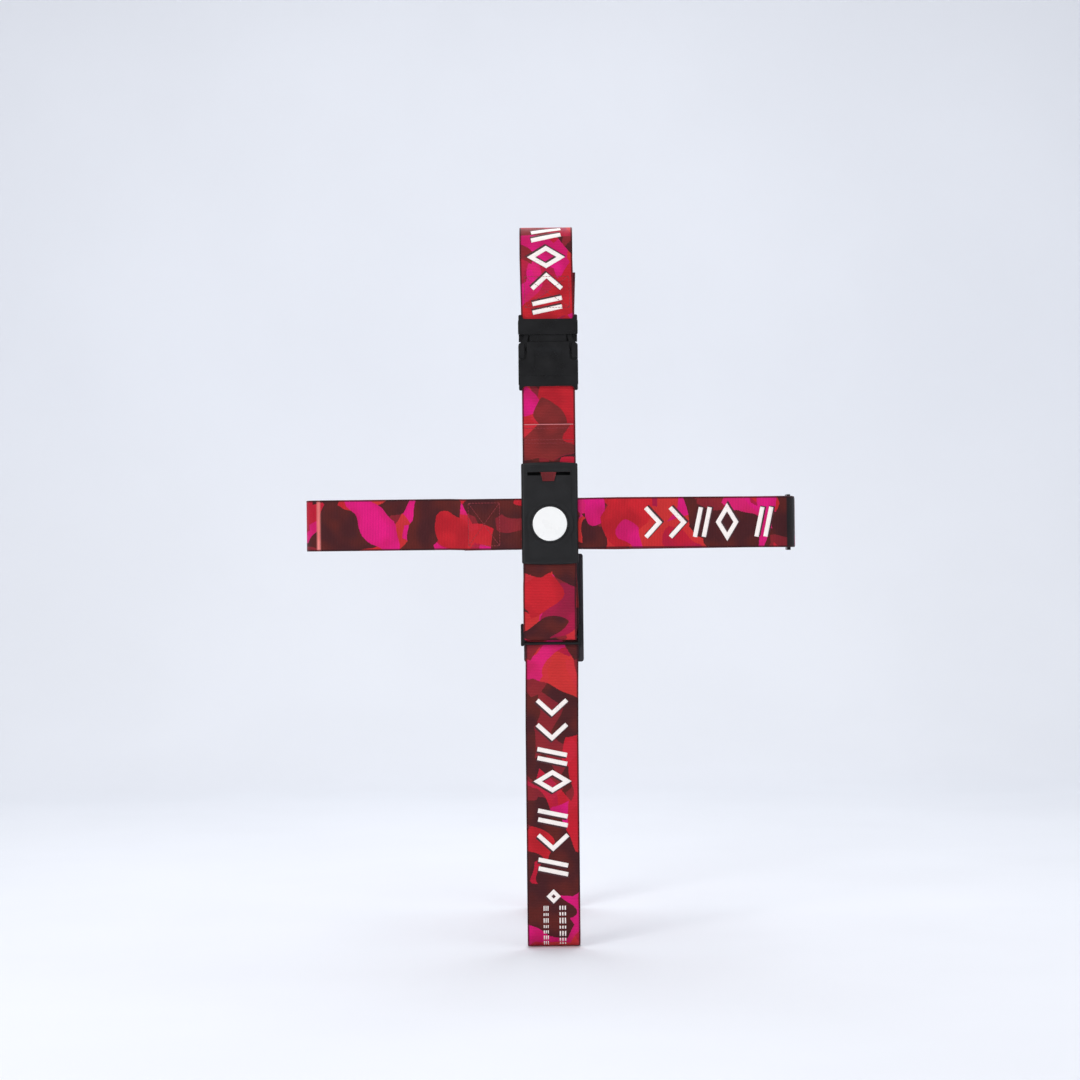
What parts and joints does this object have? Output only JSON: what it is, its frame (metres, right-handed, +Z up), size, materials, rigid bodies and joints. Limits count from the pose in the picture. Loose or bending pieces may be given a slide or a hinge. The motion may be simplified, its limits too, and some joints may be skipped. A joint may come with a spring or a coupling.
{
  "type": "luggage strap",
  "caption": "Adjustable cross strap for a suitcase: two webbing belts, a push-button coupler with a safety slide, a side-release buckle and sliding adjusters.",
  "frame": {"origin": "centre of the coupler's round button, on the plane of the suitcase's front face where the coupler's back plate lies", "axes": "+X to the right as seen from the front, +Y into the suitcase, +Z up"},
  "size_m": [0.4813, 0.3113, 0.6938],
  "materials": {
    "housing_black": "satin black ABS with a fine grain",
    "button_black": "satin black",
    "buckle_black": "semi-gloss black acetal",
    "badge_white": "plain white disc",
    "slide_red": "satin red",
    "retainer_natural": "natural acetal",
    "steel": "plated steel",
    "spring_steel": "blued spring steel",
    "pad_black": "black woven pad with a stitched edge",
    "webbing_printed": "woven polyester webbing printed with magenta, red, orange and maroon patches",
    "webbing_link": "woven polyester webbing, printed, mostly maroon and red"
  },
  "bodies": {
    "strap": {"housing_front": "housing_black", "housing_back": "housing_black", "housing_screws": "steel", "top_pin": "steel", "bottom_pin": "steel", "right_pin": "steel", "button_springs": "steel", "latch_leaf": "spring_steel", "latch_rivets": "steel", "buckle_socket": "buckle_black", "link_belt": "webbing_link", "backing_pad": "pad_black", "vertical_belt": "webbing_printed", "horizontal_belt": "webbing_printed"},
    "button": {"release_button": "button_black", "button_badge": "badge_white"},
    "safety": {"safety_slide": "slide_red", "slide_retainer": "retainer_natural"},
    "tongue": {"belt_tongue": "button_black"},
    "plug": {"buckle_plug": "buckle_black"},
    "arm_left": {"plug_arm_left": "buckle_black"},
    "arm_right": {"plug_arm_right": "buckle_black"},
    "lower_slider": {"vertical_slider": "buckle_black"},
    "side_slider": {"horizontal_slider": "buckle_black"}
  },
  "joints": [
    {"name": "button_press", "type": "slide", "parent": "strap", "child": "button", "axis": [0, 1, 0], "range_m": [0, 0.002], "stiffness_N_per_m": 600, "deforming": ["button_springs", "latch_leaf"]},
    {"name": "safety_slide", "type": "slide", "parent": "strap", "child": "safety", "axis": [1, 0, 0], "range_m": [0, 0.012]},
    {"name": "tongue_pull", "type": "slide", "parent": "strap", "child": "tongue", "axis": [-1, 0, 0], "range_m": [0, 0.032], "deforming": ["horizontal_belt"]},
    {"name": "plug_release", "type": "slide", "parent": "strap", "child": "plug", "axis": [0, 0, 1], "range_m": [0, 0.036], "deforming": ["vertical_belt"]},
    {"name": "arm_left_squeeze", "type": "hinge", "parent": "plug", "child": "arm_left", "pos_m": [-0.0205, -0.007, 0.182], "axis": [0, -1, 0], "range_deg": [0, 5], "stiffness_Nm_per_rad": 0.5, "deforming": ["plug_arm_left"]},
    {"name": "arm_right_squeeze", "type": "hinge", "parent": "plug", "child": "arm_right", "pos_m": [0.0205, -0.007, 0.182], "axis": [0, 1, 0], "range_deg": [0, 5], "stiffness_Nm_per_rad": 0.5, "deforming": ["plug_arm_right"]},
    {"name": "lower_slider_slide", "type": "slide", "parent": "strap", "child": "lower_slider", "axis": [0, 0, -1], "range_m": [-0.01, 0.06]},
    {"name": "side_slider_slide", "type": "slide", "parent": "strap", "child": "side_slider", "axis": [0, 1, 0], "range_m": [-0.005, 0.09]}
  ],
  "couplings": [
    {"joint": "arm_right_squeeze", "follows": "arm_left_squeeze", "ratio": 1}
  ]
}
